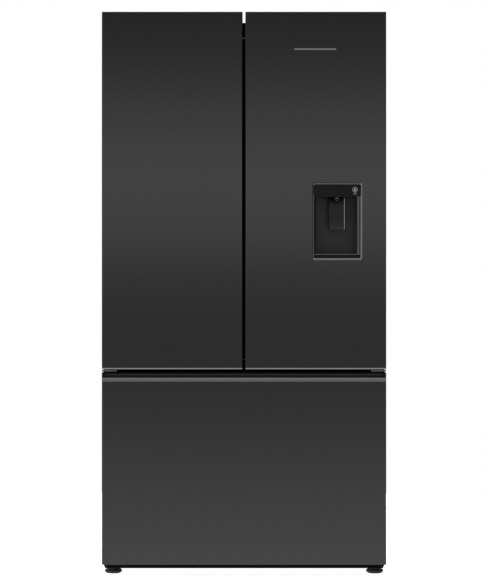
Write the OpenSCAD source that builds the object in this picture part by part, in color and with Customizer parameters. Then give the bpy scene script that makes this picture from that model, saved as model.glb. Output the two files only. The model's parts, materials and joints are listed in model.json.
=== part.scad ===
// French door refrigerator: two fridge doors above one full-width freezer drawer.
// Own frame: +Z up, front faces -Y, origin at the centre of the footprint on the floor.
// All sizes in millimetres.

/* [Overall size] */
// Width across the cabinet and the pair of doors
body_w = 900; // [740:5:1080]
// Height from the floor to the top of the doors
body_h = 1790; // [1650:1:2150]
// Depth from the door face to the back panel
body_d = 695; // [640:5:780]

/* [Doors] */
// Thickness of the doors and of the drawer front, without the seal
door_t = 70; // [60:1:85]
// Gap between the two doors
door_gap = 8.5; // [5:0.5:12]
// Gap between the doors and the drawer front
seam_gap = 10.5; // [9:0.5:16]
// Height of the bottom edge of the doors above the floor
door_z = 660; // [560:5:720]
// Rounding of the long upright edges of the doors
edge_r = 4; // [2:0.5:8]
// Thickness of the door seals
seal_t = 11.5; // [8:0.5:16]
// Thickness of the steel sheet
sheet = 1.2; // [0.8:0.1:2]
// Thickness of the moulded liners
liner_t = 2; // [1.5:0.1:3]

/* [Hinges] */
// Distance of the hinge line from the side of the cabinet
hinge_in = 18; // [16:0.5:24]
// Distance of the hinge line behind the door face
hinge_back = 25; // [24:0.5:32]
// Radius of the hinge pins
pin_r = 5; // [4:0.5:6]
// Radial running clearance of pins in their holes
run_gap = 0.05; // [0.02:0.01:0.1]

/* [Compartments] */
// Thickness of the side walls of the fridge compartment
wall_t = 50; // [40:1:60]
// Depth of the wall behind the compartments
rear_t = 60; // [50:1:80]
// Height of the finger channel wall above the drawer lip
scoop_h = 15.5; // [10:0.5:24]
// Height of the first glass shelf above the crispers
shelf_low = 290; // [250:5:340]
// Step between the glass shelves
shelf_step = 255; // [200:5:280]

/* [Dispenser] */
// Width of the dispenser frame
disp_w = 159; // [130:1:180]
// Height of the dispenser frame
disp_h = 246; // [200:1:300]
// Clearance between the dispenser frame and the ring that carries the bins
disp_gap = 6.7; // [5:0.1:60]
// Height of the bottom of the dispenser frame above the floor
disp_z = 1005; // [900:5:1100]
// Depth of the dispenser recess
disp_d = 80; // [60:1:90]

/* [Feet] */
// Radius of the front levelling feet
foot_r = 28; // [22:0.5:34]
// Radius of the rear rollers
roller_r = 20; // [16:0.5:22]

/* [View] */
// Which part to draw

/* [Hidden] */
eps = 0.01;
hw = body_w / 2;
y0 = -body_d / 2;
yb = body_d / 2;
ydb = y0 + door_t;
ycf = ydb + seal_t + 0.5;
skin_y = y0 + 0.5;
cab_z0 = 24;
cab_z1 = body_h - 22;
cx = hw - wall_t;
cy1 = yb - rear_t;
fz0 = door_z + 30;
fz1 = cab_z1 - 50;
gz0 = 100;
gz1 = door_z - 50;
dx0 = door_gap / 2;
hx = hw - hinge_in;
hy = y0 + hinge_back;
drawer_z1 = door_z - seam_gap;
lip_z1 = drawer_z1 - scoop_h;
lip_z0 = lip_z1 - 16;
drawer_z0 = 41.6;
cap_h = 50;
arm_w = 18;
pocket_d = 26;
dyke_x0 = 50;
dyke_x1 = cx - 5;
dyke_y = ydb + 37.5;
dyke_t = 14;
bin_d = 100;
mul_x = -30;
mul_y = ycf + 11;
mach_y = yb - 197;
mach_z = 270;
floor_z = 62;
kick_t = 4;
kick_y = ycf + 1;
foot_y = kick_y + kick_t + 1 + 21;
foot_x = hw - foot_r - 0.5;
roll_x = hw - 50;
roll_y = yb - 47;
disp_x = dyke_x1 - dyke_t - disp_gap - disp_w / 2;
disp_x0 = disp_x - disp_w / 2;
disp_x1 = disp_x + disp_w / 2;
disp_z1 = disp_z + disp_h;
panel_z0 = disp_z1 - 43;
shelf_z1 = fz0 + shelf_low;
shelf_z2 = shelf_z1 + shelf_step;
shelf_z3 = shelf_z2 + shelf_step;
lip_y = ycf + sheet;
bin_clear = 25.5;
shelf_y0 = ydb + 2 + bin_d + bin_clear;
crisper_y0 = shelf_y0 + 80;
basket_y1 = mach_y - 55.5;
arm_y1 = mach_y - 90.5;
tray_y1 = mach_y - 140.5;
guide_y1 = mach_y - 60.5;
shelf_y1 = cy1 - 36;

// ---- helpers ----

module blk(xa, xb, ya, yb2, za, zb) {
    translate([min(xa, xb), ya, za])
        cube([abs(xb - xa), yb2 - ya, zb - za]);
}

// Rounded rectangle from squares and circles, so its arcs stay exact
module rrect(xa, ya, xb, yb2, r) {
    union() {
        translate([xa + r, ya])
            square([xb - xa - 2 * r, yb2 - ya]);
        translate([xa, ya + r])
            square([xb - xa, yb2 - ya - 2 * r]);
        for (p = [[xa + r, ya + r], [xb - r, ya + r], [xa + r, yb2 - r], [xb - r, yb2 - r]])
            translate(p)
                circle(r = r, $fn = 48);
    }
}

// Extrude a drawing of the XZ plane from y = ya to y = yb2
module along_y(ya, yb2) {
    translate([0, yb2, 0])
        rotate([90, 0, 0])
            linear_extrude(height = yb2 - ya)
                children();
}

// Extrude a drawing of the YZ plane from x = xa to x = xb
module along_x(xa, xb) {
    translate([xa, 0, 0])
        rotate([90, 0, 90])
            linear_extrude(height = xb - xa)
                children();
}

module post(x, y, za, zb, r) {
    translate([x, y, za])
        cylinder(r = r, h = zb - za, $fn = 48);
}

// Flat ring in the XZ plane, its outer edge given, w wide
module ring_y(xa, xb, za, zb, w, r, ya, yb2) {
    along_y(ya, yb2)
        difference() {
            rrect(min(xa, xb), za, max(xa, xb), zb, r);
            rrect(min(xa, xb) + w, za + w, max(xa, xb) - w, zb - w, max(r - w, 1));
        }
}

// Open tray or bin: outer box with the inside taken out and the top open
module bin_box(xa, xb, ya, yb2, za, zb, t, r) {
    difference() {
        translate([0, 0, za])
            linear_extrude(height = zb - za)
                rrect(xa, ya, xb, yb2, r);
        translate([0, 0, za + t])
            linear_extrude(height = zb - za)
                rrect(xa + t, ya + t, xb - t, yb2 - t, r - t);
    }
}

// ---- cabinet ----

module cabinet_shell() {
    color([0.16, 0.16, 0.17]) {
        difference() {
            blk(-hw, hw, ycf, yb, cab_z0, cab_z1);
            blk(-hw + sheet, hw - sheet, ycf - 1, yb + 1, cab_z0 - 1, cab_z1 - sheet);
        }
        difference() {
            blk(-hw + sheet, hw - sheet, ycf, ycf + sheet, floor_z, cab_z1 - sheet);
            blk(-cx - 2, cx + 2, ycf - 1, ycf + 2, gz0 - 2, fz1 + 2);
        }
    }
}

module cabinet_back() {
    color([0.62, 0.63, 0.64])
        blk(-hw + sheet, hw - sheet, yb - sheet, yb, mach_z + 1, cab_z1 - sheet);
}

module roller_ears(s) {
    for (e = [-1, 1])
        along_x(s * roll_x + e * 13 - 1, s * roll_x + e * 13 + 1)
            difference() {
                union() {
                    translate([roll_y - 15, roller_r])
                        square([30, 30]);
                    translate([roll_y, roller_r])
                        circle(r = 15, $fn = 48);
                }
                translate([roll_y, roller_r])
                    circle(r = 1, $fn = 24);
            }
    translate([s * roll_x - 14, roll_y, roller_r])
        rotate([0, 90, 0])
            cylinder(r = 4, h = 28, $fn = 48);
    blk(s * roll_x - 14, s * roll_x + 14, roll_y - 15, roll_y + 15, roller_r + 27, roller_r + 29);
}

module base_pan() {
    color([0.5, 0.51, 0.52]) {
        difference() {
            blk(-hw + sheet, hw - sheet, ycf + 6, yb - sheet, cab_z0, cab_z0 + 2);
            for (s = [-1, 1]) {
                blk(s * roll_x - 12, s * roll_x + 12, roll_y - 24, roll_y + 24, 0, 40);
                post(s * foot_x, foot_y, 0, 60, 16);
            }
        }
        for (s = [-1, 1])
            difference() {
                roller_ears(s);
            }
    }
}

module kick_plate() {
    color([0.08, 0.08, 0.085])
        difference() {
            blk(-hw + 2, hw - 2, kick_y, kick_y + kick_t, cab_z0 - 6.5, floor_z - 0.5);
            for (i = [-9 : 9])
                along_y(ycf, ycf + 6)
                    rrect(i * 34 - 12, 47, i * 34 + 12, 51, 1.9);
        }
}

module liner_hole(grow) {
    blk(-cx - grow, cx + grow, ycf - 5, cy1 + grow, fz0 - grow, fz1 + grow);
}

module freezer_hole(grow) {
    difference() {
        blk(-cx - grow + 5, cx + grow - 5, ycf - 5, cy1 + grow, gz0 - grow, gz1 + grow);
        blk(-hw, hw, mach_y - 24 + grow, yb, 0, mach_z + 28 - grow);
    }
}

module insulation() {
    color([0.86, 0.8, 0.6])
        difference() {
            blk(-hw + sheet, hw - sheet, lip_y + liner_t, yb - sheet, floor_z, cab_z1 - sheet);
            liner_hole(liner_t);
            freezer_hole(liner_t);
            blk(-hw, hw, mach_y, yb + 1, 0, mach_z);
        }
}

module fridge_liner() {
    color([0.93, 0.94, 0.95]) {
        difference() {
            union() {
                blk(-cx - liner_t, cx + liner_t, ycf, cy1 + liner_t, fz0 - liner_t, fz1 + liner_t);
                blk(-cx - 29.5, cx + 29.5, lip_y, lip_y + liner_t, fz0 - 9.5, fz1 + 29.5);
            }
            liner_hole(0);
        }
        // ledges that carry the crispers and their glass cover
        for (s = [-1, 1]) {
            blk(s * (cx - 8), s * cx, shelf_y0, cy1 - 20, shelf_z1 - 14, shelf_z1 - 6);
            blk(s * (cx - 8), s * cx, crisper_y0 - 20, cy1 - 20, fz0 + 20, fz0 + 24);
        }
        blk(-5, 5, crisper_y0 - 20, cy1 - 20, fz0, fz0 + 24);
        blk(-3, 3, shelf_y0, cy1 - 20, fz0, shelf_z1 - 6);
    }
}

module freezer_liner() {
    color([0.93, 0.94, 0.95]) {
        difference() {
            union() {
                intersection() {
                    freezer_hole(liner_t);
                    blk(-hw, hw, ycf, yb, 0, body_h);
                }
                blk(-cx - 29.5, cx + 29.5, lip_y, lip_y + liner_t, floor_z + 0.5, gz1 + 9.5);
            }
            freezer_hole(0);
        }
        // moulded rails the drawer arms run on
        for (s = [-1, 1])
            blk(s * (cx - 17), s * (cx - 5), ycf + 6, guide_y1, gz0 + 226, gz0 + 232);
    }
}

module centre_rail() {
    color([0.16, 0.16, 0.17])
        blk(-cx - 2, cx + 2, ycf, ycf + sheet, gz1 + 2, fz0 - 2);
}

module duct_cover() {
    color([0.9, 0.91, 0.92])
        difference() {
            blk(-140, 140, cy1 - 22, cy1, shelf_z1 + 20, fz1 - 30);
            blk(-130, 130, cy1 - 19, cy1 + 1, shelf_z1 + 30, fz1 - 40);
            for (z = [shelf_z1 + 60, shelf_z2 + 60, shelf_z3 + 60])
                for (s = [-1, 1])
                    for (i = [0 : 3])
                        along_y(cy1 - 24, cy1 - 18)
                            rrect(s * 75 - 35, z + i * 12, s * 75 + 35, z + i * 12 + 5, 2.4);
        }
}

module shelf_tracks() {
    color([0.7, 0.71, 0.72])
        for (x = [-cx + 10, cx - 10, -16, 16])
            difference() {
                blk(x - 7, x + 7, abs(x) < 100 ? cy1 - 28 : cy1 - 6,
                    abs(x) < 100 ? cy1 - 22 : cy1, shelf_z1 + 24, fz1 - 34);
                for (z = [shelf_z1 + 50 : 60 : fz1 - 60])
                    blk(x - 2, x + 2, cy1 - 30, cy1 + 1, z, z + 14);
            }
}

module top_light() {
    color([0.97, 0.98, 1])
        along_y(shelf_y0, shelf_y0 + 110)
            rrect(-130, fz1 - 9, 130, fz1, 3);
}

module crisper_cover() {
    color([0.75, 0.85, 0.86, 0.5])
        blk(-cx + 2, cx - 2, shelf_y0 - 5, cy1 - 40, shelf_z1 - 6, shelf_z1 - 1);
}

module half_shelf(s, z) {
    difference() {
        translate([0, 0, z - 12])
            linear_extrude(height = 18)
                rrect(min(s * 12, s * (cx - 4)), shelf_y0, max(s * 12, s * (cx - 4)), shelf_y1, 6);
        translate([0, 0, z - 13])
            linear_extrude(height = 14)
                rrect(min(s * 16, s * (cx - 8)), shelf_y0 + 4,
                      max(s * 16, s * (cx - 8)), shelf_y1 - 4, 4);
        translate([0, 0, z])
            linear_extrude(height = 7)
                rrect(min(s * 22, s * (cx - 14)), shelf_y0 + 12,
                      max(s * 22, s * (cx - 14)), shelf_y1 - 12, 0.6);
    }
    // cantilever arms under the glass, reaching back to the tracks
    for (x = [s * 17, s * (cx - 11)])
        along_x(x - 1.5, x + 1.5)
            polygon([[shelf_y0 + 30, z - 11.5], [shelf_y0 + 30, z - 16],
                     [shelf_y1, z - 46], [shelf_y1, z - 11.5]]);
}

module shelf_frames() {
    color([0.88, 0.9, 0.92])
        for (s = [-1, 1])
            for (z = [shelf_z2, shelf_z3])
                half_shelf(s, z);
}

module shelf_glass() {
    color([0.75, 0.85, 0.86, 0.5])
        for (s = [-1, 1])
            for (z = [shelf_z2, shelf_z3])
                blk(s * 23, s * (cx - 15), shelf_y0 + 13, shelf_y1 - 13, z + 1, z + 5);
}

module crisper(s) {
    za = fz0 + 24.2;
    zb = shelf_z1 - 22;
    color([0.85, 0.9, 0.92, 0.6]) {
        bin_box(min(s * 6, s * (cx - 9)), max(s * 6, s * (cx - 9)), crisper_y0, cy1 - 30, za, zb, 3, 10);
        // grip lip along the top of the front
        blk(s * 20, s * (cx - 24), crisper_y0 - 10, crisper_y0 + 1, zb - 14, zb);
    }
}

module crisper_left() {
    crisper(-1);
}

module crisper_right() {
    crisper(1);
}

// ---- hinges ----

module top_hinges() {
    color([0.3, 0.3, 0.31])
        for (s = [-1, 1]) {
            translate([0, 0, cab_z1])
                linear_extrude(height = 5)
                    union() {
                        translate([s * hx, hy])
                            circle(r = arm_w / 2, $fn = 48);
                        translate([s * hx - arm_w / 2, hy])
                            square([arm_w, ycf + 40 - hy]);
                        rrect(min(s * (hx - 40), s * (hx + 10)), ycf + 8,
                              max(s * (hx - 40), s * (hx + 10)), ycf + 90, 5);
                    }
            post(s * hx, hy, body_h - cap_h + 5, cab_z1 + 1, pin_r);
            for (p = [[-28, 25], [-28, 72], [0, 72]])
                post(s * (hx + p[0]), ycf + p[1], cab_z1 + 4, cab_z1 + 8, 6);
        }
}

module middle_hinges() {
    color([0.34, 0.33, 0.32])
        for (s = [-1, 1]) {
            za = door_z - 7.5;
            blk(s * (hx - 29), s * hw, hy - 17.5, ycf, za, za + 4);
            blk(s * (hx - 29), s * (hw - 2), ycf - 4, ycf, za, za + 15);
            post(s * hx, hy, za + 3, door_z + 28, pin_r);
        }
}

module hinge_covers() {
    color([0.12, 0.12, 0.125])
        for (s = [-1, 1])
            difference() {
                translate([0, 0, cab_z1 + 0.01])
                    linear_extrude(height = 19)
                        rrect(min(s * (hx - 48), s * (hx + 15)), ycf + 4,
                              max(s * (hx - 48), s * (hx + 15)), ycf + 98, 8);
                translate([0, 0, cab_z1 - 1])
                    linear_extrude(height = 17.5)
                        rrect(min(s * (hx - 45), s * (hx + 12)), ycf + 7,
                              max(s * (hx - 45), s * (hx + 12)), ycf + 95, 5);
                blk(s * (hx - 10), s * (hx + 10), ycf, ycf + 12, cab_z1 - 1, cab_z1 + 6);
            }
}

// ---- doors; s is -1 for the left one and 1 for the right one ----

// Plan of a door or of the drawer front, with its two front corners rounded
module plan(xa, xb, i) {
    lo = min(xa, xb) + i;
    hi = max(xa, xb) - i;
    union() {
        rrect(lo, skin_y + i, hi, skin_y + i + 24, max(edge_r - i, 0.8));
        translate([lo, skin_y + i + 10])
            square([hi - lo, ydb - liner_t - skin_y - i - 10]);
    }
}

module door_plan(s, i) {
    plan(s * dx0, s * hw, i);
}

module pocket(s) {
    blk(s * (hx - 15), s * (hw + 1), hy - 22, ydb + 1, body_h - pocket_d, body_h + 1);
}

module disp_cut(deep) {
    along_y(y0 - 1, y0 + deep)
        rrect(disp_x0, disp_z, disp_x1, disp_z1, 7);
}

module tub_cut() {
    blk(disp_x0 + 8, disp_x1 - 8, y0 + 10, y0 + disp_d, disp_z + 10, panel_z0);
}

module door_skin(s) {
    difference() {
        translate([0, 0, door_z + 4])
            linear_extrude(height = body_h - door_z - 4)
                difference() {
                    door_plan(s, 0);
                    door_plan(s, sheet);
                }
        pocket(s);
        if (s > 0)
            disp_cut(30);
    }
}

module door_foam(s) {
    difference() {
        union() {
            translate([0, 0, door_z + 44])
                linear_extrude(height = body_h - cap_h - door_z - 44)
                    door_plan(s, sheet);
            if (s > 0)
                blk(disp_x0 - 2, disp_x1 + 2, ydb - liner_t - 1, y0 + disp_d + 20,
                    disp_z - 13, panel_z0 + 18);
        }
        if (s > 0) {
            disp_cut(14);
            tub_cut();
        }
    }
}

module door_liner(s) {
    difference() {
        union() {
            blk(s * (dx0 + sheet), s * (hw - sheet), ydb - liner_t, ydb, door_z + 4, body_h);
            if (s > 0)
                blk(disp_x0 - 4, disp_x1 + 4, ydb - 1, y0 + disp_d + 22, disp_z - 15, panel_z0 + 20);
        }
        if (s > 0)
            blk(disp_x0 - 2, disp_x1 + 2, ydb - 5, y0 + disp_d + 20, disp_z - 13, panel_z0 + 18);
        pocket(s);
    }
    // raised ring that carries the bins
    ring_y(s * dyke_x0, s * dyke_x1, fz0 + 10, fz1 - 15, dyke_t, 12, ydb - 0.5, dyke_y);
    if (s < 0)
        for (z = [fz0 + 4, fz1 - 8]) {
            blk(-66, mul_x + 6, ydb - 1, mul_y + 6, z, z + 4);
            post(mul_x, mul_y, z < 1000 ? z : z - 10, z < 1000 ? z + 14 : z + 4, 3);
        }
}

module door_caps(s) {
    xi = s * (dx0 + sheet);
    xo = s * (hw - sheet);
    difference() {
        translate([0, 0, body_h - cap_h])
            linear_extrude(height = cap_h)
                door_plan(s, sheet);
        pocket(s);
        post(s * hx, hy, body_h - cap_h + 4, body_h, pin_r + run_gap);
    }
    difference() {
        union() {
            translate([0, 0, door_z + 30])
                linear_extrude(height = 14)
                    door_plan(s, sheet);
            blk(xi, xo, y0 + 17.5, ydb - liner_t, door_z, door_z + 31);
            blk(xi + s * 4, xo - s * 4, skin_y + sheet, y0 + 14.5, door_z + 4, door_z + 31);
        }
        blk(s * 60, s * (hx - 42), y0 + 17, y0 + 49.5, door_z - 1, door_z + 30);
        post(s * hx, hy, door_z - 1, door_z + 32, pin_r + run_gap);
    }
}

module door_trim(s) {
    translate([0, 0, door_z])
        linear_extrude(height = 4)
            rrect(min(s * dx0, s * hw), y0, max(s * dx0, s * hw), y0 + 17.5, 3.5);
    blk(s * (dx0 + sheet), s * (hw - sheet), y0 + 14.5, y0 + 17.5, door_z + 3, door_z + 30);
}

module door_seal(s) {
    ring_y(s * (dx0 + 1.75), s * (hw - 20), fz0 - 18, fz1 + 24, 18, 4, ydb, ydb + seal_t);
}

module door_bin(s, z) {
    xa = s * (dyke_x0 + dyke_t + 1);
    xb = s * (dyke_x1 - dyke_t - 1);
    bin_box(min(xa, xb), max(xa, xb), ydb + 2, ydb + 2 + bin_d, z, z + 120, 3, 12);
    for (z2 = [z + 60, z + 84])
        along_y(ydb + bin_d + 1, ydb + bin_d + 4)
            rrect(min(xa, xb) + 24, z2, max(xa, xb) - 24, z2 + 10, 4.9);
}

module left_door_skin() {
    color([0.17, 0.17, 0.18])
        door_skin(-1);
}

module left_door_foam() {
    color([0.86, 0.8, 0.6])
        door_foam(-1);
}

module left_door_liner() {
    color([0.93, 0.94, 0.95])
        door_liner(-1);
}

module left_door_caps() {
    color([0.07, 0.07, 0.075])
        door_caps(-1);
}

module left_door_seal() {
    color([0.2, 0.2, 0.2])
        door_seal(-1);
}

module left_door_bins() {
    color([0.85, 0.9, 0.92, 0.6])
        for (z = [fz0 + 25, fz0 + 330, fz0 + 620])
            door_bin(-1, z);
}

module left_door_trim() {
    color([0.42, 0.42, 0.43])
        door_trim(-1);
}

module right_door_skin() {
    color([0.17, 0.17, 0.18])
        door_skin(1);
}

module right_door_foam() {
    color([0.86, 0.8, 0.6])
        door_foam(1);
}

module right_door_liner() {
    color([0.93, 0.94, 0.95])
        door_liner(1);
}

module right_door_caps() {
    color([0.07, 0.07, 0.075])
        door_caps(1);
}

module right_door_seal() {
    color([0.2, 0.2, 0.2])
        door_seal(1);
}

module right_door_bins() {
    color([0.85, 0.9, 0.92, 0.6])
        for (z = [fz0 + 25, panel_z0 + 40, panel_z0 + 280])
            door_bin(1, z);
}

module right_door_trim() {
    color([0.42, 0.42, 0.43])
        door_trim(1);
}

// Folding strip on the left door that both seals close against
module mullion() {
    color([0.2, 0.2, 0.21])
        difference() {
            union() {
                translate([0, 0, fz0 + 10])
                    linear_extrude(height = fz1 - fz0 - 20)
                        rrect(-25, mul_y - 11, 25, mul_y + 11, 3);
                for (z = [fz0 + 10, fz1 - 24]) {
                    post(mul_x, mul_y, z, z + 14, 6);
                    blk(mul_x, -24, mul_y - 6, mul_y + 6, z, z + 14);
                }
            }
            for (z = [fz0 + 9, fz1 - 25])
                post(mul_x, mul_y, z, z + 16, 3 + run_gap);
        }
}

// ---- water dispenser in the right door ----

module dispenser_frame() {
    color([0.3, 0.3, 0.31])
        difference() {
            along_y(y0, y0 + 14)
                rrect(disp_x0, disp_z, disp_x1, disp_z1, 7);
            along_y(y0 - 1, y0 + 15)
                rrect(disp_x0 + 10, disp_z + 12, disp_x1 - 10, panel_z0 - 2, 4);
            along_y(y0 - 1, y0 + 8)
                rrect(disp_x0 + 6, panel_z0, disp_x1 - 6, disp_z1 - 7, 4);
        }
}

module dispenser_tub() {
    color([0.1, 0.1, 0.105]) {
        difference() {
            blk(disp_x0 + 8, disp_x1 - 8, y0 + 14, y0 + disp_d, disp_z + 10, panel_z0);
            blk(disp_x0 + 10, disp_x1 - 10, y0 + 13, y0 + disp_d - 2, disp_z + 12, panel_z0 - 2);
        }
        for (s = [-1, 1])
            blk(disp_x + s * 29, disp_x + s * 33, y0 + 40, y0 + 50, panel_z0 - 14, panel_z0 - 1);
        translate([disp_x - 33, y0 + 45, panel_z0 - 8])
            rotate([0, 90, 0])
                cylinder(r = 2, h = 66, $fn = 32);
    }
}

module dispenser_panel() {
    color([0.02, 0.02, 0.022])
        along_y(y0 + 1, y0 + 8)
            rrect(disp_x0 + 6.3, panel_z0 + 0.3, disp_x1 - 6.3, disp_z1 - 7.3, 3.7);
}

module dispenser_nozzle() {
    color([0.6, 0.61, 0.62])
        difference() {
            union() {
                post(disp_x, y0 + 24, panel_z0 - 13, panel_z0 - 2, 9);
                post(disp_x, y0 + 24, panel_z0 - 17, panel_z0 - 12, 6);
            }
            post(disp_x, y0 + 24, panel_z0 - 18, panel_z0 - 6, 3.5);
        }
}

module dispenser_paddle() {
    color([0.25, 0.25, 0.26])
        difference() {
            union() {
                translate([disp_x - 26.5, y0 + 45, panel_z0 - 8])
                    rotate([0, 90, 0])
                        cylinder(r = 4.5, h = 53, $fn = 48);
                along_y(y0 + 43, y0 + 47)
                    rrect(disp_x - 26.5, panel_z0 - 106, disp_x + 26.5, panel_z0 - 8, 3);
            }
            translate([disp_x - 30, y0 + 45, panel_z0 - 8])
                rotate([0, 90, 0])
                    cylinder(r = 2 + run_gap, h = 60, $fn = 32);
        }
}

module drip_tray() {
    color([0.12, 0.12, 0.125])
        difference() {
            blk(disp_x0 + 12, disp_x1 - 12, y0 + 14.5, y0 + disp_d - 4, disp_z + 12.01, disp_z + 19);
            for (i = [-5 : 5])
                translate([0, 0, disp_z + 15])
                    linear_extrude(height = 5)
                        rrect(disp_x + i * 10.5 - 2.5, y0 + 20, disp_x + i * 10.5 + 2.5,
                              y0 + disp_d - 14, 2.4);
        }
}

module badge() {
    color([0.55, 0.56, 0.57])
        along_y(y0, skin_y)
            rrect(hw / 2 - 66.5, body_h - 120.5, hw / 2 + 66.5, body_h - 115.5, 2);
}

// ---- freezer drawer ----

module drawer_skin() {
    color([0.17, 0.17, 0.18])
        difference() {
            translate([0, 0, drawer_z0])
                linear_extrude(height = lip_z0 - drawer_z0)
                    plan(-hw, hw, 0);
            translate([0, 0, drawer_z0 + sheet])
                linear_extrude(height = lip_z0)
                    union() {
                        plan(-hw, hw, sheet);
                        translate([-hw + sheet, ydb - 20])
                            square([2 * (hw - sheet), 30]);
                    }
        }
}

module drawer_foam() {
    color([0.86, 0.8, 0.6])
        difference() {
            translate([0, 0, drawer_z0 + sheet])
                linear_extrude(height = drawer_z1 - 2.5 - drawer_z0 - sheet)
                    plan(-hw, hw, sheet);
            blk(-hw, hw, y0 + 9.5, y0 + 47.5, lip_z0 - 30, body_h);
            blk(-hw, hw, y0 - 1, y0 + 12, lip_z0, body_h);
            for (s = [-1, 1])
                blk(s * (hw - 3), s * (hw + 1), y0 - 1, yb, lip_z0, body_h);
        }
}

// Full-width channel grip: a front lip, a finger channel behind it and closed ends
module drawer_handle() {
    color([0.42, 0.42, 0.43]) {
        along_x(-hw + 3, hw - 3)
            union() {
                rrect(y0, lip_z0, y0 + 12, lip_z1, 3.5);
                translate([y0 + 9.5, lip_z0 - 30])
                    square([2.5, 34]);
                translate([y0 + 9.5, lip_z0 - 30])
                    square([38, 2.5]);
                translate([y0 + 45, lip_z0 - 30])
                    square([2.5, drawer_z1 - lip_z0 + 30]);
                translate([y0 + 45, drawer_z1 - 2.5])
                    square([door_t - 45 - liner_t, 2.5]);
            }
        for (s = [-1, 1])
            blk(s * (hw - 3), s * hw, y0 + 3, ydb - liner_t, lip_z0, drawer_z1);
    }
}

module drawer_liner() {
    color([0.93, 0.94, 0.95]) {
        blk(-hw + 3, hw - 3, ydb - liner_t, ydb, drawer_z0 + sheet, drawer_z1);
        ring_y(-cx + 40, cx - 40, gz0 + 20, gz1 - 20, 12, 10, ydb - 0.5, ydb + 6);
    }
}

module drawer_seal() {
    color([0.2, 0.2, 0.2])
        ring_y(-hw + 20, hw - 20, gz0 - 22, gz1 + 22, 18, 4, ydb, ydb + seal_t);
}

module drawer_rails() {
    color([0.66, 0.67, 0.68])
        for (s = [-1, 1])
            union() {
                blk(s * (cx - 9), s * (cx - 11), ydb + 0.01, arm_y1, gz0 + 232.5, gz0 + 256);
                blk(s * (cx - 9), s * (cx - 29), ydb + 0.01, arm_y1, gz0 + 254, gz0 + 256);
                blk(s * (cx - 9), s * (cx - 38), ydb + 0.01, ydb + 3, gz0 + 200, gz0 + 256);
            }
}

module drawer_basket() {
    color([0.85, 0.9, 0.92, 0.6]) {
        bin_box(-cx + 34, cx - 34, ydb + 14, basket_y1, gz0 + 10, gz0 + 259, 3, 16);
        // rim that rests on the drawer arms
        difference() {
            translate([0, 0, gz0 + 256.01])
                linear_extrude(height = 3)
                    rrect(-cx + 15, ydb + 10, cx - 15, basket_y1 + 4, 16);
            translate([0, 0, gz0 + 255])
                linear_extrude(height = 6)
                    rrect(-cx + 36, ydb + 16, cx - 36, basket_y1 - 2, 12);
        }
    }
}

module freezer_tray() {
    color([0.85, 0.9, 0.92, 0.6])
        bin_box(-cx + 18, cx - 18, ydb + 18, tray_y1, gz0 + 259.3, gz0 + 350, 3, 14);
}

// ---- feet and rollers ----

module foot(s) {
    color([0.09, 0.09, 0.09])
        translate([s * foot_x, foot_y, 0])
            union() {
                rotate_extrude($fn = 96)
                    polygon([[0, 0], [foot_r - 5, 0], [foot_r - 1.5, 3.5], [foot_r - 1.5, 9.5],
                             [foot_r - 3, 11], [15.5, 11], [15.5, 20], [6, 20], [6, 58], [0, 58]]);
                // knurled rim
                for (a = [0 : 15 : 345])
                    rotate([0, 0, a])
                        translate([foot_r - 2, 0, 4])
                            cylinder(r = 2, h = 5, $fn = 16);
            }
}

module foot_left() {
    foot(-1);
}

module foot_right() {
    foot(1);
}

module foot_brackets() {
    color([0.3, 0.3, 0.31])
        for (s = [-1, 1])
            difference() {
                blk(s * foot_x - 22, s * foot_x + 22, foot_y - 21, foot_y + 22, 27, floor_z);
                post(s * foot_x, foot_y, 20, floor_z - 2, 6 + run_gap);
            }
}

module roller(s) {
    color([0.13, 0.13, 0.13])
        difference() {
            translate([s * roll_x - 9, roll_y, roller_r])
                rotate([0, 90, 0])
                    cylinder(r = roller_r, h = 18, $fn = 96);
            translate([s * roll_x - 10, roll_y, roller_r])
                rotate([0, 90, 0])
                    cylinder(r = 4 + run_gap, h = 20, $fn = 48);
        }
}

module roller_left() {
    roller(-1);
}

module roller_right() {
    roller(1);
}

// ---- machinery ----

module compressor() {
    color([0.07, 0.07, 0.07])
        translate([-210, yb - 105, cab_z0 + 2])
            union() {
                translate([0, 0, 12])
                    rotate_extrude($fn = 96)
                        polygon([[0, 0], [60, 0], [76, 14], [78, 20], [78, 88], [80, 90],
                                 [80, 94], [78, 96], [78, 130], [72, 150], [52, 166], [0, 172]]);
                linear_extrude(height = 14)
                    union() {
                        rrect(-95, -30, 95, 30, 10);
                        rrect(-30, -72, 30, 72, 10);
                    }
                translate([70, 0, 110])
                    rotate([0, 90, 0])
                        cylinder(r = 5, h = 60, $fn = 32);
            }
}

// A hub with a bore and five pitched blades, turning about Y
module fan(r, hub_r, w) {
    difference() {
        union() {
            rotate([90, 0, 0])
                cylinder(r = hub_r, h = w, center = true, $fn = 48);
            for (a = [0 : 72 : 288])
                rotate([0, a, 0])
                    translate([0, 0, hub_r - 1])
                        rotate([0, 0, 28])
                            translate([-hub_r * 0.9, -1, 0])
                                cube([hub_r * 1.8, 2, r - hub_r]);
        }
        rotate([90, 0, 0])
            cylinder(r = 3 + run_gap, h = w + 40, center = true, $fn = 32);
    }
}

module condenser_fan() {
    color([0.16, 0.16, 0.165])
        translate([140, yb - 32, 160])
            fan(80, 20, 24);
}

module evaporator_fan() {
    color([0.8, 0.81, 0.82])
        translate([0, cy1 - 40, gz1 - 110])
            fan(60, 16, 20);
}

// Three spokes and an axle that carry a fan from behind its opening
module spider(r, ya, yb2, ypin) {
    for (a = [0 : 120 : 240])
        rotate([0, a, 0])
            blk(-4, 4, ya, yb2, 0, r);
    rotate([90, 0, 0])
        translate([0, 0, min(-ya, -ypin)])
            cylinder(r = 3, h = abs(ypin - ya), $fn = 32);
}

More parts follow.
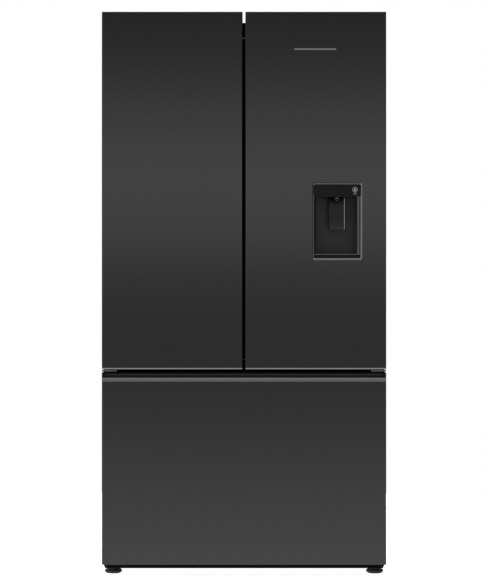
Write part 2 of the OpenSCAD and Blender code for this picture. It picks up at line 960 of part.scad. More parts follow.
module evaporator_cover() {
    color([0.9, 0.91, 0.92]) {
        difference() {
            blk(-cx + 7, cx - 7, cy1 - 61, cy1 - 58, mach_z + 30, gz1 - 2);
            along_y(cy1 - 70, cy1 - 50)
                translate([0, gz1 - 110])
                    circle(r = 64, $fn = 96);
            for (s = [-1, 1])
                for (i = [0 : 5])
                    along_y(cy1 - 62, cy1 - 57)
                        rrect(s * (cx - 160) - 90, mach_z + 60 + i * 30, s * (cx - 160) + 90,
                              mach_z + 70 + i * 30, 4);
        }
        translate([0, 0, gz1 - 110])
            spider(70, cy1 - 61, cy1 - 58, cy1 - 26);
    }
}

module machine_cover() {
    color([0.2, 0.2, 0.21]) {
        difference() {
            blk(-hw + 2, hw - 2, yb - 2, yb, cab_z0 + 20, mach_z);
            for (s = [-1, 1])
                for (i = [0 : 8])
                    along_y(yb - 3, yb + 1)
                        rrect(s * (hw - 180) - 70, 90 + i * 18, s * (hw - 180) + 70, 98 + i * 18, 3.9);
            along_y(yb - 3, yb + 1)
                translate([140, 160])
                    difference() {
                        circle(r = 84, $fn = 96);
                        for (q = [-1 : 1])
                            translate([-90, q * 40 - 3])
                                square([180, 6]);
                    }
            blk(-66, -34, yb - 3, yb + 1, 128, 152);
        }
        translate([140, 0, 160])
            rotate([90, 0, 0])
                translate([0, 0, -yb])
                    cylinder(r = 3, h = 46, $fn = 32);
    }
}

module power_inlet() {
    color([0.03, 0.03, 0.03]) {
        difference() {
            blk(-65, -35, yb - 24, yb - 0.01, 129, 151);
            along_y(yb - 18, yb)
                rrect(-62, 132, -38, 148, 3);
        }
        for (p = [[-57, 138], [-50, 143], [-43, 138]])
            blk(p[0] - 1, p[0] + 1, yb - 20, yb - 4, p[1] - 2, p[1] + 2);
    }
}

cabinet_shell();
cabinet_back();
base_pan();
kick_plate();
insulation();
fridge_liner();
freezer_liner();
centre_rail();
duct_cover();
shelf_tracks();
top_light();
crisper_cover();
shelf_frames();
shelf_glass();
crisper_left();
crisper_right();
top_hinges();
middle_hinges();
hinge_covers();
left_door_skin();
left_door_foam();
left_door_liner();
left_door_caps();
left_door_seal();
left_door_bins();
left_door_trim();
right_door_skin();
right_door_foam();
right_door_liner();
right_door_caps();
right_door_seal();
right_door_bins();
right_door_trim();
mullion();
dispenser_frame();
dispenser_tub();
dispenser_panel();
dispenser_nozzle();
dispenser_paddle();
drip_tray();
badge();
drawer_skin();
drawer_foam();
drawer_handle();
drawer_liner();
drawer_seal();
drawer_basket();
drawer_rails();
freezer_tray();
foot_left();
foot_right();
foot_brackets();
roller_left();
roller_right();
compressor();
condenser_fan();
evaporator_fan();
evaporator_cover();
machine_cover();
power_inlet();
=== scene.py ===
"""Looks of a french door refrigerator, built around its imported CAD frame."""

import json
import math

import bmesh
import bpy
import numpy as np
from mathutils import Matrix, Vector


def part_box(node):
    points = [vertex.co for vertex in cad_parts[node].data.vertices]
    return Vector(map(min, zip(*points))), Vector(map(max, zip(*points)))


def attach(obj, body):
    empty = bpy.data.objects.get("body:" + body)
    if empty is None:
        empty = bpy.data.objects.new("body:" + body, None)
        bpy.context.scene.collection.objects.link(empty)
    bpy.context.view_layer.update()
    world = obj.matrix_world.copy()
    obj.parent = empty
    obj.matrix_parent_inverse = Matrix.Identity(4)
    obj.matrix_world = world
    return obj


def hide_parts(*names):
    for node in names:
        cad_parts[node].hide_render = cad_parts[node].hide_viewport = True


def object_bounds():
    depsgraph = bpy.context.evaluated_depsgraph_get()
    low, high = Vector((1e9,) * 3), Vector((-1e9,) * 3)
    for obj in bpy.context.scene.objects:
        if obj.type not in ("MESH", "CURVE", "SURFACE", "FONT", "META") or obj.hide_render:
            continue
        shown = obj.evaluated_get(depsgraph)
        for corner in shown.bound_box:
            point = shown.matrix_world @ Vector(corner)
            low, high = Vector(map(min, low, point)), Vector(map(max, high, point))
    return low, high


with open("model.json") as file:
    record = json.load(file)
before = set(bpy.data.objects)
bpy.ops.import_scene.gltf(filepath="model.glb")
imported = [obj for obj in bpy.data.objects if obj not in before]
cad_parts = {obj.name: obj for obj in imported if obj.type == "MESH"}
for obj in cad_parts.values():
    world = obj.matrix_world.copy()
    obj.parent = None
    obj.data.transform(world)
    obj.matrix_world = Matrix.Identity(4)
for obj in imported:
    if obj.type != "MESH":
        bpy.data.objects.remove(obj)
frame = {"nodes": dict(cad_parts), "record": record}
CAD_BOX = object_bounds()
NODES = frame["nodes"]
MM = 0.001

# Shared by the materials: strength of a bump, and levels of detail in their colour noise.
BUMP_STRENGTH = 0.6
DRIFT_DETAIL = 4.0


# ---- shader maths ----


class Val:
    """A socket, with the arithmetic that the materials use."""

    def __init__(self, mat, socket):
        self.mat = mat
        self.socket = socket

    def _math(self, operation, a, b):
        return self.mat.node("ShaderNodeMath", {"operation": operation}, {0: a, 1: b})[0]

    def __add__(self, other):
        return self._math("ADD", self, other)

    def __radd__(self, other):
        return self._math("ADD", other, self)

    def __sub__(self, other):
        return self._math("SUBTRACT", self, other)

    def __rsub__(self, other):
        return self._math("SUBTRACT", other, self)

    def __mul__(self, other):
        return self._math("MULTIPLY", self, other)

    def __rmul__(self, other):
        return self._math("MULTIPLY", other, self)

    def __truediv__(self, other):
        return self._math("DIVIDE", self, other)

    def power(self, other):
        return self._math("POWER", self, other)

    def largest(self, other):
        return self._math("MAXIMUM", self, other)

    def above(self, other):
        return self._math("GREATER_THAN", self, other)


class Shade:
    """A node tree, written as expressions."""

    def __init__(self, tree):
        self.tree = tree

    def node(self, kind, settings=None, values=None):
        """A node of one kind, with settings and socket values or links. Gives its outputs."""
        n = self.tree.nodes.new(kind)
        for key, value in (settings or {}).items():
            if key == "stops":
                ramp = n.color_ramp
                while len(ramp.elements) < len(value):
                    ramp.elements.new(0.5)
                for e, (place, colour) in zip(ramp.elements, value):
                    e.position = place
                    e.color = colour
            else:
                setattr(n, key, value)
        for key, value in (values or {}).items():
            if isinstance(value, Val):
                self.tree.links.new(value.socket, n.inputs[key])
            else:
                n.inputs[key].default_value = value
        return [Val(self, s) for s in n.outputs]

    def mix(self, factor, a, b):
        """Colour a where factor is 0, and b where it is 1."""
        return self.node(
            "ShaderNodeMix", {"data_type": "RGBA"}, {0: factor, 6: rgba(a), 7: rgba(b)}
        )[2]

    def place(self, scale=(1, 1, 1)):
        """Object coordinates, stretched by a scale along each axis."""
        where = self.node("ShaderNodeTexCoord")[3]
        return self.node("ShaderNodeMapping", None, {"Vector": where, "Scale": scale})[0]

    def noise(self, scale, detail=3.0, stretch=(1, 1, 1)):
        """Smooth noise from 0 to 1."""
        return self.node(
            "ShaderNodeTexNoise",
            None,
            {"Vector": self.place(stretch), "Scale": scale, "Detail": detail},
        )[0]


def rgba(value):
    """A grey level or a colour as four numbers; a link is passed on."""
    if isinstance(value, Val):
        return value
    if isinstance(value, (int, float)):
        return (value, value, value, 1.0)
    return (*value, 1.0)


def finish_material(name, base, rough, bump=None, bump_depth=0.0002, metal=0.0, **fixed):
    """A material from its colour, roughness and bump functions, each called with the Shade.

    The other sockets take a value, or a function of the Shade.
    """
    material = bpy.data.materials.new(name)
    material.use_nodes = True
    tree = material.node_tree
    tree.nodes.clear()
    s = Shade(tree)
    values = {"Base Color": rgba(base(s)), "Roughness": rough(s), "Metallic": metal}
    values.update({key: v(s) if callable(v) else v for key, v in fixed.items()})
    if bump:
        values["Normal"] = s.node(
            "ShaderNodeBump", None,
            {"Strength": BUMP_STRENGTH, "Distance": bump_depth, "Height": bump(s)},
        )[0]
    surface = s.node("ShaderNodeBsdfPrincipled", None, values)[0]
    s.node("ShaderNodeOutputMaterial", None, {0: surface})
    return material


def mottled(low, high, scale, stretch=(1, 1, 1)):
    """A colour that drifts between two tones."""
    return lambda s: s.mix(s.noise(scale, DRIFT_DETAIL, stretch), low, high)


def worn(low, high, scale, stretch=(1, 1, 1)):
    """Roughness that drifts between two values."""
    return lambda s: low + (high - low) * s.noise(scale, DRIFT_DETAIL, stretch)


def grain(scale, stretch=(1, 1, 1), detail=2.0):
    """Height of a fine grain."""
    return lambda s: s.noise(scale, detail, stretch)


def smooth(s, value, start, end, low, high):
    """A smooth change from low to high as value goes from start to end."""
    return s.node(
        "ShaderNodeMapRange", {"interpolation_type": "SMOOTHSTEP"},
        {0: value, 1: start, 2: end, 3: low, 4: high},
    )[0]


# Noise is squeezed across the brushing, so that the streaks run upwards or across.
BRUSH_UP = (60, 60, 1)
BRUSH_ACROSS = (1, 60, 60)

# Painted shade: the cabinet's front flange, FLANGE_DEPTH thick, is coloured black for the shade in
# the gaps between the doors.
SHELL_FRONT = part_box("cabinet_shell")[0][1]
FLANGE_DEPTH = 3 * MM
PAINT_COAT = 0.35


def flange_shade_mask(s):
    """1 on the front flange of the cabinet, where the shade of the door gaps is painted, and 0 on
    the rest of it.
    """
    y = s.node("ShaderNodeSeparateXYZ", None, {0: s.place()})[1]
    return 1.0 - y.above(SHELL_FRONT + FLANGE_DEPTH)


def shell_colour_with_gap_shade(s):
    """Painted body colour, with painted shade: dull black on the front flange, in the door gaps."""
    paint = s.mix(s.noise(60, DRIFT_DETAIL), (0.030, 0.030, 0.032), (0.036, 0.036, 0.038))
    return s.mix(flange_shade_mask(s), paint, (0.003, 0.003, 0.003))


def finish_coat(s):
    """Clear coat of the paint, left out on the front flange where the shade is painted."""
    return PAINT_COAT * (1.0 - flange_shade_mask(s))


FINISH = {
    "black_steel": finish_material(
        "black_steel", mottled((0.066, 0.066, 0.067), (0.074, 0.074, 0.074), 9, BRUSH_UP),
        worn(0.10, 0.13, 14, BRUSH_UP), grain(30, BRUSH_UP), 0.000004, metal=1.0,
    ),
    "painted_body": finish_material(
        "painted_body", mottled((0.030, 0.030, 0.032), (0.036, 0.036, 0.038), 60),
        worn(0.38, 0.5, 40), grain(900), 0.00008,
    ),
    "zinc": finish_material(
        "zinc", mottled((0.30, 0.31, 0.32), (0.46, 0.47, 0.48), 28),
        worn(0.34, 0.55, 35), grain(220), 0.00004, metal=0.9,
    ),
    "hinge_steel": finish_material(
        "hinge_steel", mottled((0.11, 0.105, 0.10), (0.16, 0.155, 0.15), 40),
        worn(0.32, 0.46, 70), grain(300), 0.00003, metal=1.0,
    ),
    "grip_trim": finish_material(
        "grip_trim", mottled((0.36, 0.36, 0.365), (0.42, 0.42, 0.42), 12, BRUSH_ACROSS),
        worn(0.2, 0.3, 14, BRUSH_ACROSS), grain(30, BRUSH_ACROSS), 0.00001, metal=1.0,
    ),
    "badge_metal": finish_material(
        "badge_metal", mottled((0.30, 0.30, 0.305), (0.36, 0.36, 0.36), 12, BRUSH_ACROSS),
        worn(0.24, 0.32, 14, BRUSH_ACROSS), grain(40, BRUSH_ACROSS), 0.00001, metal=1.0,
    ),
    "black_plastic": finish_material(
        "black_plastic", mottled((0.012, 0.012, 0.012), (0.019, 0.019, 0.019), 90),
        worn(0.5, 0.62, 120), grain(1400), 0.00006,
    ),
    "gloss_black": finish_material(
        "gloss_black", mottled((0.0105, 0.0105, 0.0105), (0.0135, 0.0135, 0.0135), 60),
        worn(0.36, 0.44, 80), grain(1500), 0.00004,
    ),
    "panel_glass": finish_material(
        "panel_glass", mottled((0.0045, 0.0045, 0.0045), (0.006, 0.006, 0.006), 30),
        worn(0.10, 0.14, 25), grain(30), 0.000004, **{"Specular IOR Level": 0.09},
    ),
    "white_liner": finish_material(
        "white_liner", mottled((0.78, 0.79, 0.80), (0.83, 0.84, 0.85), 7),
        worn(0.22, 0.3, 30), grain(380), 0.00006,
    ),
    "white_trim": finish_material(
        "white_trim", mottled((0.70, 0.72, 0.74), (0.76, 0.78, 0.80), 20),
        worn(0.36, 0.46, 60), grain(700), 0.00005,
    ),
    "clear_bin": finish_material(
        "clear_bin", mottled((0.88, 0.93, 0.95), (0.92, 0.96, 0.97), 6),
        worn(0.04, 0.09, 14), grain(25), 0.00003, **{"Transmission Weight": 0.85, "IOR": 1.2},
    ),
    "clear_glass": finish_material(
        "clear_glass", mottled((0.80, 0.92, 0.89), (0.84, 0.95, 0.92), 5),
        worn(0.02, 0.05, 14), grain(20), 0.00002, **{"Transmission Weight": 0.9, "IOR": 1.3},
    ),
    "foam": finish_material(
        "foam", mottled((0.58, 0.50, 0.30), (0.72, 0.64, 0.42), 60),
        worn(0.75, 0.9, 80), grain(500), 0.0004,
    ),
    "seal": finish_material(
        "seal", mottled((0.016, 0.016, 0.017), (0.026, 0.026, 0.027), 40),
        worn(0.45, 0.6, 60), grain(500), 0.00008,
    ),
    "lamp": finish_material(
        "lamp", mottled((0.9, 0.92, 0.95), (0.95, 0.96, 0.98), 30),
        worn(0.3, 0.4, 40), grain(600), 0.00005,
    ),
    "black_enamel": finish_material(
        "black_enamel", mottled((0.010, 0.010, 0.010), (0.015, 0.015, 0.015), 30),
        worn(0.16, 0.26, 30), grain(160), 0.0001,
    ),
}
GREY_MARK = finish_material(
    "grey_mark", mottled((0.20, 0.20, 0.20), (0.25, 0.25, 0.25), 200),
    worn(0.4, 0.5, 200), grain(1200), 0.00002,
)
LIP_METAL = finish_material(
    "lip_metal", mottled((0.20, 0.20, 0.203), (0.24, 0.24, 0.24), 12, BRUSH_ACROSS),
    worn(0.22, 0.3, 14, BRUSH_ACROSS), grain(30, BRUSH_ACROSS), 0.00001, metal=1.0,
)
BEZEL_METAL = finish_material(
    "bezel_metal", mottled((0.15, 0.15, 0.152), (0.18, 0.18, 0.18), 12, BRUSH_ACROSS),
    worn(0.22, 0.3, 14, BRUSH_ACROSS), grain(30, BRUSH_ACROSS), 0.00001, metal=1.0,
)
(_, HANDLE_FRONT, _), (_, _, HANDLE_HIGH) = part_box("drawer_handle")
CHANNEL_DEPTH = 12 * MM
LIP_TOP = HANDLE_HIGH - 15.5 * MM
# Painted light on the handle: the lip tones paint a reflection that grows lighter upwards, the edge
# share a shadow along the lip's top edge, and the wall tones the shade in the finger channel.
LIP_LOW_REFLECTION_TONE, LIP_HIGH_REFLECTION_TONE, LIP_EDGE_SHADOW_SHARE = 0.15, 0.26, 0.3
CHANNEL_SHADE_LOW_TONE, CHANNEL_SHADE_HIGH_TONE = 0.046, 0.004


def handle_colour_painted_shade(s):
    """Brushed lip, lighter upwards as a painted reflection, with a painted shadow at its top edge;
    painted shade in the channel, darker upwards.
    """
    _, y, z = s.node("ShaderNodeSeparateXYZ", None, {0: s.place()})[:3]
    # Painted shade: the finger channel behind the lip is coloured dark.
    deep = y.above(HANDLE_FRONT + CHANNEL_DEPTH)
    streak = 0.92 + 0.16 * s.noise(12, DRIFT_DETAIL, BRUSH_ACROSS)
    lip = smooth(s, z, LIP_TOP - 12 * MM, LIP_TOP - 2 * MM, LIP_LOW_REFLECTION_TONE, LIP_HIGH_REFLECTION_TONE) * streak
    # Painted shadow along the top edge of the lip.
    lip = lip * smooth(s, z, LIP_TOP - 2.6 * MM, LIP_TOP - 0.8 * MM, 1.0, LIP_EDGE_SHADOW_SHARE)
    wall = smooth(
        s, z, HANDLE_HIGH - 8 * MM, HANDLE_HIGH - 3 * MM, CHANNEL_SHADE_LOW_TONE, CHANNEL_SHADE_HIGH_TONE
    ) * streak
    return lip + deep * (wall - lip)


MOUTH_METAL = finish_material(
    "mouth_metal", mottled((0.065, 0.065, 0.066), (0.085, 0.085, 0.085), 12, BRUSH_UP),
    worn(0.24, 0.32, 14, BRUSH_UP), grain(30, BRUSH_UP), 0.00001, metal=1.0,
)
# Handle metal, with the painted reflection and painted shade of the handle colour.
HANDLE_METAL_PAINTED_SHADE = finish_material(
    "handle_metal_painted_shade", handle_colour_painted_shade, worn(0.24, 0.32, 14, BRUSH_ACROSS),
    grain(30, BRUSH_ACROSS), 0.00001, metal=1.0,
)
# Shell paint, with the painted shade of the door gaps on its front flange.
SHELL_PAINT_WITH_GAP_SHADE = finish_material(
    "shell_paint_gap_shade", shell_colour_with_gap_shade, worn(0.38, 0.5, 40), grain(900), 0.00008,
    **{"Specular IOR Level": 0.06, "Coat Weight": finish_coat, "Coat Roughness": 0.35},
)
SHADOW_BLACK = finish_material(
    "shadow_black", mottled((0.002, 0.002, 0.002), (0.004, 0.004, 0.004), 40),
    worn(0.7, 0.8, 40), grain(600), 0.00005, **{"Specular IOR Level": 0.05},
)
PADDLE_METAL = finish_material(
    "paddle_metal", mottled((0.032, 0.032, 0.033), (0.040, 0.040, 0.040), 20, BRUSH_UP),
    worn(0.3, 0.38, 20, BRUSH_UP), grain(40, BRUSH_UP), 0.00001, metal=1.0,
)

SLOT_OF = {p["node"]: p["material_slot"] for p in frame["record"]["subparts"]}
# shadow_black is painted shade: on the centre rail and mullion it darkens the gaps between the
# doors and drawer, and on the kick plate, black plastic, it adds the shade under the drawer.
OWN_FINISH = {
    "drawer_handle": HANDLE_METAL_PAINTED_SHADE,
    "cabinet_shell": SHELL_PAINT_WITH_GAP_SHADE,
    "centre_rail": SHADOW_BLACK,
    "mullion": SHADOW_BLACK,
    "kick_plate": SHADOW_BLACK,
}
for node_name, piece in NODES.items():
    skin = OWN_FINISH.get(node_name, FINISH[SLOT_OF[node_name]])
    if not piece.material_slots:
        piece.data.materials.append(skin)
    for held in piece.material_slots:
        held.material = skin


# ---- surfaces ----


def rounded_loop(x0, x1, z0, z1, r, n=10):
    """Loop of a rounded rectangle: each corner is centre + r (cos t, sin t) over a quarter turn."""
    quarter = math.pi / 2
    t = np.linspace(0, quarter, n)
    corners = [
        (x1 - r, z1 - r, 0), (x0 + r, z1 - r, 1), (x0 + r, z0 + r, 2), (x1 - r, z0 + r, 3),
    ]
    arcs = [
        np.stack([cx + r * np.cos(t + q * quarter), cz + r * np.sin(t + q * quarter)], 1)
        for cx, cz, q in corners
    ]
    return np.concatenate(arcs)


def facing_front(loop, y):
    """A loop drawn in x and z, stood up at depth y."""
    return np.stack([loop[:, 0], np.full(len(loop), y), loop[:, 1]], 1)


def loft(name, rings, body, material, caps=True, round_trip=False, sharp=35):
    """Surface S(u, v): ring v, point u, with u closed, and v closed too on a round trip."""
    rings = np.asarray(rings, float)
    count, size, _ = rings.shape
    rows = np.arange(count if round_trip else count - 1)
    a = (rows[:, None] * size + np.arange(size)).ravel()
    b = (rows[:, None] * size + (np.arange(size) + 1) % size).ravel()
    up = ((rows + 1) % count)[:, None] * size
    c = (up + (np.arange(size) + 1) % size).ravel()
    d = (up + np.arange(size)).ravel()
    faces = np.stack([a, b, c, d], 1).tolist()
    if caps and not round_trip:
        faces.append(list(range(size))[::-1])
        faces.append(list(range((count - 1) * size, count * size)))
    mesh = bpy.data.meshes.new(name)
    mesh.from_pydata(rings.reshape(-1, 3).tolist(), [], faces)
    outwards(mesh)
    mesh.shade_smooth()
    mesh.set_sharp_from_angle(angle=math.radians(sharp))
    mesh.materials.append(material)
    o = bpy.data.objects.new(name, mesh)
    bpy.context.scene.collection.objects.link(o)
    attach(o, body)
    return o


def outwards(mesh):
    """Turn every face of a closed mesh outwards."""
    work = bmesh.new()
    work.from_mesh(mesh)
    bmesh.ops.recalc_face_normals(work, faces=work.faces)
    work.to_mesh(mesh)
    work.free()


# ---- water dispenser ----

# Boxes of the frame (F), the touch panel (P) and the tub (T).
(FX0, FY, FZ0), (FX1, _, FZ1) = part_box("dispenser_frame")
(_, PY, PZ0), (PX1, _, PZ1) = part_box("dispenser_panel")
(TX0, _, TZ0), (TX1, TY1, TZ1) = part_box("dispenser_tub")
TUB_WALL = 2 * MM
MOUTH_DEPTH = FY + 5 * MM
BEZEL_IN, BEZEL_IN_WIDE = 5.8 * MM, 6.0 * MM


def inset_frame(left, right, low, top, r, y):
    """The frame's outline moved in by a margin on each side, at depth y."""
    return facing_front(rounded_loop(FX0 + left, FX1 - right, FZ0 + low, FZ1 - top, r), y)


def build_frame():
    """Bezel: rings run in from the outline, down a bevel that is wider right and below, and back.

    Behind the panel, a black slab closes the gap round it.
    """
    rings = [
        inset_frame(0, 0, 0, 0, 7 * MM, FY + 12 * MM),
        inset_frame(0, 0, 0, 0, 7 * MM, FY + 0.8 * MM),
        inset_frame(0.3 * MM, 0.3 * MM, 0.3 * MM, 0.3 * MM, 6.8 * MM, FY + 0.1 * MM),
        inset_frame(0.5 * MM, 0.5 * MM, 0.5 * MM, 0.5 * MM, 6.6 * MM, FY),
        inset_frame(3.6 * MM, 5.2 * MM, 5.2 * MM, 3.6 * MM, 4.5 * MM, FY + 3.0 * MM),
        inset_frame(BEZEL_IN, BEZEL_IN_WIDE, BEZEL_IN_WIDE, BEZEL_IN, 4 * MM, FY + 3.4 * MM),
        inset_frame(BEZEL_IN, BEZEL_IN_WIDE, BEZEL_IN_WIDE, BEZEL_IN, 4 * MM, FY + 12 * MM),
    ]
    o = loft("dispenser_bezel", rings, "right_door", BEZEL_METAL,
             caps=False, round_trip=True)
    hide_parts("dispenser_frame")
    backing = rounded_loop(FX0 + 5 * MM, FX1 - 5 * MM, PZ0 - 2.5 * MM, FZ1 - 5 * MM, 3 * MM)
    slab = [facing_front(backing, FY + 8.3 * MM), facing_front(backing, FY + 11.5 * MM)]
    loft("dispenser_backing", slab, "right_door", FINISH["gloss_black"])


def recess_ring(grow, y, r):
    """Recess outline at depth y: the tub's inside, opened out by grow on each side."""
    low, high = TX0 + TUB_WALL, TX1 - TUB_WALL
    return facing_front(
        rounded_loop(low - grow, high + grow, TZ0 + TUB_WALL - grow, TZ1 - 0.5 * MM, r), y
    )


def build_recess():
    """Drafted cavity: rings shrink towards the back wall, and the shell closes around the outside.

    A metal bead lines its mouth: the rings run over the front edge and slope in, most at the right.
    """
    back = TY1 - TUB_WALL
    front = MOUTH_DEPTH
    rings = [
        recess_ring(-5 * MM, back, 5 * MM),
        recess_ring(-4.2 * MM, back - 2 * MM, 6 * MM),
        recess_ring(-3.6 * MM, back - 5 * MM, 7 * MM),
        recess_ring(1.5 * MM, front + 2 * MM, 5 * MM),
        recess_ring(2.6 * MM, front, 5 * MM),
        recess_ring(3.8 * MM, front, 5 * MM),
        recess_ring(3.8 * MM, front + 8 * MM, 5 * MM),
        recess_ring(1.9 * MM, TY1 - 0.1 * MM, 5 * MM),
    ]
    o = loft("dispenser_recess", rings, "right_door", FINISH["gloss_black"])
    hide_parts("dispenser_tub")
    bead = [
        mouth_ring(-2.6, -2.6, -2.6, front + 2.6 * MM),
        mouth_ring(-2.6, -2.6, -2.6, front + 0.4 * MM),
        mouth_ring(-1.2, -1.2, -1.2, front - 1.0 * MM),
        mouth_ring(0.6, 6.4, 0.4, front + 4.2 * MM),
        mouth_ring(0.6, 6.4, 0.4, front + 5.6 * MM),
    ]
    loft("dispenser_mouth", bead, "right_door", MOUTH_METAL,
         caps=False, round_trip=True)


def mouth_ring(left, right, low, y):
    """Recess outline at depth y, moved in by millimetres on the left, on the right and below."""
    return facing_front(
        rounded_loop(TX0 + (2 + left) * MM, TX1 - (2 + right) * MM, TZ0 + (2 + low) * MM,
                     TZ1 + 1.5 * MM, 3 * MM), y
    )


def build_sill():
    """Front sill under the drip tray: a bar with a rounded section, and a lighter strip on top."""
    x0, x1 = FX0 + 6 * MM, FX1 - 6 * MM
    profile = rounded_loop(
        FY + 3.6 * MM, FY + 14 * MM, FZ0 + 6 * MM, FZ0 + 17.5 * MM, 1.5 * MM, 6
    )
    rings = [
        np.stack([np.full(len(profile), x), profile[:, 0], profile[:, 1]], 1)
        for x in np.linspace(x0, x1, 3)
    ]
    loft("dispenser_sill", rings, "right_door", FINISH["panel_glass"])
    edge = rounded_loop(
        FY + 4.2 * MM, FY + 7.0 * MM, FZ0 + 17.4 * MM, FZ0 + 19.2 * MM, 0.8 * MM, 5
    )
    rings = [
        np.stack([np.full(len(edge), x), edge[:, 0], edge[:, 1]], 1)
        for x in np.linspace(x0 + 2 * MM, x1 - 2 * MM, 3)
    ]
    loft("dispenser_sill_edge", rings, "right_door", LIP_METAL)


def build_paddle():
    """Hanging plate: each slice is y = y0 - b |x/w|^6, so its two rims stand forward.

    A lighter strip down the right rim is a painted highlight.
    """
    (x0, _, z0), (x1, _, _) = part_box("dispenser_paddle")
    (_, ya, _), (_, yb, _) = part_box("dispenser_paddle")
    cx, w = (x0 + x1) / 2, (x1 - x0) / 2
    mid = (ya + yb) / 2
    across = np.linspace(-1, 1, 49)
    top = TZ1 - 2.3 * MM
    rings = []
    for t, pull in ((0, 1.5), (0.02, 0.3), (0.3, 0.0), (0.7, 0.0), (0.97, 0.3), (1, 1.5)):
        z = top - t * (top - z0)
        half = w - pull * MM
        front = mid - 2.6 * MM - 3.0 * MM * np.abs(across) ** 6 + pull * 0.8 * MM
        back = mid + 2.2 * MM - 1.0 * MM * (1 - across**2) - pull * 0.8 * MM
        xs = np.concatenate([cx + half * across, cx + half * across[::-1]])
        ys = np.concatenate([front, back[::-1]])
        rings.append(np.stack([xs, ys, np.full(len(xs), z)], 1))
    o = loft("dispenser_lever", rings, "dispenser_paddle", PADDLE_METAL, sharp=28)
    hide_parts("dispenser_paddle")
    # Painted highlight: a light metal strip down the right rim, where the rim catches light.
    strip = rounded_loop(x1 - 2.8 * MM, x1 - 0.2 * MM, mid - 7.0 * MM, mid - 4.4 * MM, 0.8 * MM, 5)
    edge = [
        np.stack([strip[:, 0], strip[:, 1], np.full(len(strip), z)], 1)
        for z in (top - 2 * MM, z0 + 3 * MM)
    ]
    loft("dispenser_lever_painted_highlight", edge, "dispenser_paddle", FINISH["grip_trim"])


def build_spout():
    """Spout: a torus (R + r cos v) round an axis that leans down and forwards.

    The outlet in it is a dome of height h (1 - q^2).
    """
    (x0, y0, _), (x1, _, _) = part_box("dispenser_nozzle")
    cx, reach = (x0 + x1) / 2, (x1 - x0) / 2
    lean = math.radians(44)
    axis = np.array([0.0, -math.cos(lean), -math.sin(lean)])
    side = np.array([1.0, 0.0, 0.0])
    rise = np.array([0.0, -math.sin(lean), math.cos(lean)])
    centre = np.array([cx, y0 + 3 * MM, TZ1 - 8.5 * MM])
    turn = np.linspace(0, 2 * math.pi, 48, endpoint=False)
    spoke = np.cos(turn)[:, None] * side + np.sin(turn)[:, None] * rise
    tube = np.linspace(0, 2 * math.pi, 14, endpoint=False)
    r = 2.4 * MM
    rings = [
        centre + (reach - r + r * math.cos(v)) * spoke + r * math.sin(v) * axis for v in tube
    ]
    o = loft("dispenser_spout", rings, "right_door", FINISH["gloss_black"],
             caps=False, round_trip=True)
    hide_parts("dispenser_nozzle")
    radius, height = reach - 2 * r + 0.6 * MM, 1.8 * MM
    share = np.array([1.0, 0.9, 0.7, 0.45, 0.2])
    dome = [
        centre + radius * q * spoke + (height * (1 - q * q) - 0.6 * MM) * axis for q in share
    ]
    dome.insert(0, centre + radius * spoke - 3 * MM * axis)
    loft("dispenser_outlet", dome, "right_door", LIP_METAL)


def flat_ring(name, cx, cz, outer, inner, y, lift, squeeze=1.0):
    """A raised mark: circles x = cx + r cos t, z = cz + k r sin t, at two radii and two depths."""
    t = np.linspace(0, 2 * math.pi, 48, endpoint=False)

    def circle(r, depth):
        return np.stack(
            [cx + r * np.cos(t), np.full(len(t), depth), cz + squeeze * r * np.sin(t)], 1
        )

    rings = [
        circle(outer, y), circle(outer, y - lift), circle(inner, y - lift), circle(inner, y),
    ]
    loft(name, rings, "right_door", GREY_MARK, caps=False, round_trip=True)


def build_marks():
    """Touch marks on the panel: a ring around a drop, and a pill under them."""
    face = PY
    lift = 0.12 * MM
    x, z = PX1 - 17 * MM, PZ1 - 15.5 * MM
    flat_ring("panel_ring", x, z, 8.2 * MM, 6.6 * MM, face, lift)
    t = np.linspace(0, 2 * math.pi, 40, endpoint=False)
    r = 3.6 * MM
    drop_x = x + r * np.cos(t) * (1 - 0.5 * np.clip(np.sin(t), 0, 1))
    drop_z = z - 0.6 * MM + r * np.sin(t) * (1 + 0.45 * np.clip(np.sin(t), 0, 1) ** 2)
    drop = np.stack([drop_x, drop_z], 1)
    loft("panel_drop", [facing_front(drop, face), facing_front(drop, face - lift)],
         "right_door", GREY_MARK)
    flat_ring("panel_pill", x, z - 13 * MM, 5 * MM, 3.6 * MM, face, lift, 0.55)


build_frame()
build_recess()
build_sill()
build_paddle()
build_spout()
build_marks()


# ---- stage, light and camera ----


FLOOR_SIDE, FLOOR_FRONT, FLOOR_BACK, FLOOR_GLOW = 2.4, -1.35, 1.9, 0.9
LENS_LENGTH, SENSOR_HEIGHT = 103.0, 36.0
CAMERA_AWAY, CAMERA_RISE = 5.3, 6 * MM


def build_stage():
    """Pale studio floor: a flat sheet in front of, under and behind the appliance."""
    xs = np.array([-FLOOR_SIDE, FLOOR_SIDE, FLOOR_SIDE, -FLOOR_SIDE])
    ys = np.array([FLOOR_FRONT, FLOOR_FRONT, FLOOR_BACK, FLOOR_BACK])
    mesh = bpy.data.meshes.new("studio_floor")
    mesh.from_pydata(np.stack([xs, ys, np.zeros(4)], 1).tolist(), [], [[0, 1, 2, 3]])
    mesh.materials.append(
        finish_material(
            "studio_floor", mottled((0.84, 0.84, 0.84), (0.87, 0.87, 0.87), 2),
            worn(0.8, 0.9, 4), grain(60), 0.0001,
            **{"Emission Color": (1.0, 1.0, 1.0, 1.0), "Emission Strength": FLOOR_GLOW,
               "Specular IOR Level": 0.1},
        )
    )
    o = bpy.data.objects.new("studio_floor", mesh)
    bpy.context.scene.collection.objects.link(o)
    o.visible_glossy = False


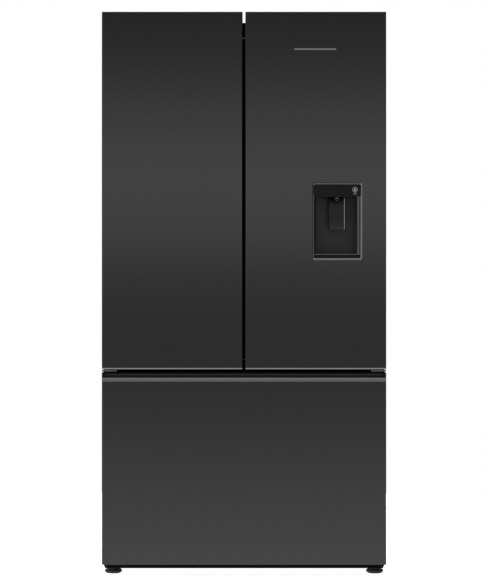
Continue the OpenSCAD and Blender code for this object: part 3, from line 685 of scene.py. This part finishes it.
def area_light(name, place, aim, size, power):
    """A square soft light at a place, turned to face a point."""
    light = bpy.data.lights.new(name, "AREA")
    light.shape = "SQUARE"
    light.size = size
    light.energy = power
    o = bpy.data.objects.new(name, light)
    o.location = place
    way = np.array(aim, float) - np.array(place, float)
    o.rotation_euler = look(way)
    o.visible_glossy = False
    bpy.context.scene.collection.objects.link(o)


def look(way):
    """Euler angles that turn an object's -Z axis along a direction."""
    return Vector(way).to_track_quat("-Z", "Y").to_euler()


# Brightness of the light in front: the floor and the hump, then the rises low down and high up.
GLOW, PEAK, PEAK_SLOPE, PEAK_WIDTH = 0.20, 0.70, 0.067, 0.055
LOW_GLOW, LOW_REACH, LOW_POWER = 0.72, 0.16, 1.4
HIGH_GLOW, HIGH_START, HIGH_REACH = 0.5, 0.2, 0.4


def front_light(s, slope):
    """Light in front by slope: a floor, a hump e^-(t^2) above the lens, and two rises."""
    t = (slope - PEAK_SLOPE) / PEAK_WIDTH
    hump = s.node("ShaderNodeMath", {"operation": "EXPONENT"}, {0: 0.0 - t * t})[0]
    low = s.node("ShaderNodeClamp", None, {0: (0.0 - slope) / LOW_REACH})[0].power(LOW_POWER)
    high = s.node("ShaderNodeClamp", None, {0: (slope - HIGH_START) / HIGH_REACH})[0]
    return GLOW + PEAK * hump + LOW_GLOW * low + HIGH_GLOW * high


def build_world():
    """Surround lit from the upper left; the side the doors face glows softly just above the lens.

    It is plain white where it is seen directly.
    """
    world = bpy.data.worlds.new("studio")
    bpy.context.scene.world = world
    world.use_nodes = True
    world.node_tree.nodes.clear()
    s = Shade(world.node_tree)
    way = s.node("ShaderNodeTexCoord")[0]
    x, y, z = s.node("ShaderNodeSeparateXYZ", None, {0: way})[:3]
    band = front_light(s, z / (0.0 - y).largest(0.25))
    sides = smooth(s, x - z, -0.6, 0.6, 1.0, 0.12)
    facing = smooth(s, y, -0.8, -0.45, 0.0, 1.0)
    light = band + facing * (sides - band)
    seen = s.node("ShaderNodeLightPath")[0]
    strength = light + seen * (1.0 - light)
    back = s.node("ShaderNodeBackground", None, {0: rgba(1.0), 1: strength})[0]
    s.node("ShaderNodeOutputWorld", None, {0: back})


def build_camera():
    """Level camera just above half the appliance's height, straight in front of the doors."""
    (_, front, low), (_, _, high) = CAD_BOX
    lens = bpy.data.cameras.new("camera")
    lens.sensor_fit = "VERTICAL"
    lens.sensor_height = SENSOR_HEIGHT
    lens.lens = LENS_LENGTH
    o = bpy.data.objects.new("camera", lens)
    o.location = (0.0, front - CAMERA_AWAY, (low + high) / 2 + CAMERA_RISE)
    o.rotation_euler = (math.pi / 2, 0.0, 0.0)
    bpy.context.scene.collection.objects.link(o)
    bpy.context.scene.camera = o


build_stage()
build_world()
build_camera()
area_light("overhead", (-1.5, -1.0, 4.2), (0, 0.4, 0), 4.0, 260)
area_light("rear_fill", (1.0, 5.0, 3.5), (0, 1.0, 0), 4.0, 160)
bpy.context.scene.view_settings.view_transform = "Standard"
